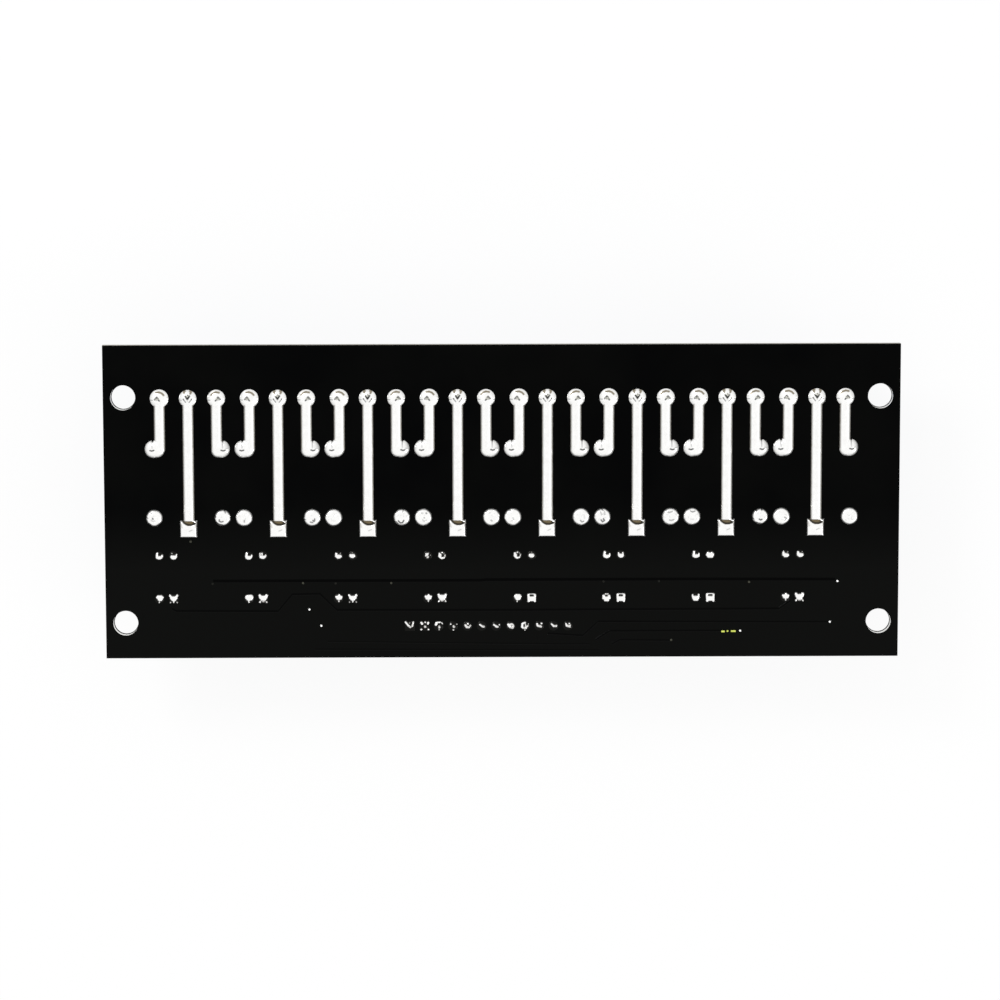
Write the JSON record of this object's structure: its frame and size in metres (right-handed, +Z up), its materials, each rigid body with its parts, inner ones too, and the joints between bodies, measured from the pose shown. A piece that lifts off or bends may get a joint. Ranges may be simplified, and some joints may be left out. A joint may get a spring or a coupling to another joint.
{
  "type": "relay module board",
  "caption": "Rectangular black circuit board with a row of relays and screw terminals, shown from its soldered side with thick tinned tracks and solder joints.",
  "frame": {"origin": "on the resting plane, under the centre of the board", "axes": "+Z up, out of the soldered face; +X along the board, with the header pins below; +Y towards the edge with the screw terminals"},
  "size_m": [0.14, 0.0556, 0.0188],
  "materials": {
    "board_mask": "black solder mask over glass-fibre laminate, faint gloss",
    "solder": "bright tin solder, smooth crowns, cooler grey where it has frozen dull",
    "tinned_copper": "tinned copper lead wire and strip",
    "plated_screw_steel": "zinc plated steel, slotted",
    "nickel_plated_steel": "nickel plated pressed steel",
    "header_pin_metal": "thin gold-coloured plating",
    "relay_case_plastic": "moulded blue relay cover, fine spark-eroded texture",
    "relay_base_plastic": "dark base sealed with resin",
    "terminal_plastic": "moulded blue polyamide",
    "moulded_black": "black moulding compound",
    "header_plastic": "black moulded header strip",
    "jumper_cap_plastic": "yellow moulded cap",
    "resistor_ceramic": "dark glazed chip with tinned ends",
    "led_resin": "clear to pale resin on a white base"
  },
  "bodies": {
    "root": {"circuit_board": "board_mask", "coil_joints": "solder", "diode_tabs": "tinned_copper", "diodes": "moulded_black", "header_joints": "solder", "header_pins": "header_pin_metal", "header_strip": "header_plastic", "indicator_leds": "led_resin", "jumper_cap": "jumper_cap_plastic", "jumper_strip": "header_plastic", "load_tracks": "solder", "optocoupler_1": "moulded_black", "optocoupler_2": "moulded_black", "optocoupler_3": "moulded_black", "optocoupler_4": "moulded_black", "optocoupler_5": "moulded_black", "optocoupler_6": "moulded_black", "optocoupler_7": "moulded_black", "optocoupler_8": "moulded_black", "optocoupler_joints": "solder", "optocoupler_leads": "tinned_copper", "relay_bases": "relay_base_plastic", "relay_case_1": "relay_case_plastic", "relay_case_2": "relay_case_plastic", "relay_case_3": "relay_case_plastic", "relay_case_4": "relay_case_plastic", "relay_case_5": "relay_case_plastic", "relay_case_6": "relay_case_plastic", "relay_case_7": "relay_case_plastic", "relay_case_8": "relay_case_plastic", "relay_pins": "tinned_copper", "resistors": "resistor_ceramic", "terminal_block_1": "terminal_plastic", "terminal_block_2": "terminal_plastic", "terminal_block_3": "terminal_plastic", "terminal_block_4": "terminal_plastic", "terminal_block_5": "terminal_plastic", "terminal_block_6": "terminal_plastic", "terminal_block_7": "terminal_plastic", "terminal_block_8": "terminal_plastic", "terminal_cages": "nickel_plated_steel", "terminal_pins": "tinned_copper", "terminal_screws": "plated_screw_steel", "transistor_legs": "tinned_copper", "transistors": "moulded_black"}
  },
  "joints": []
}
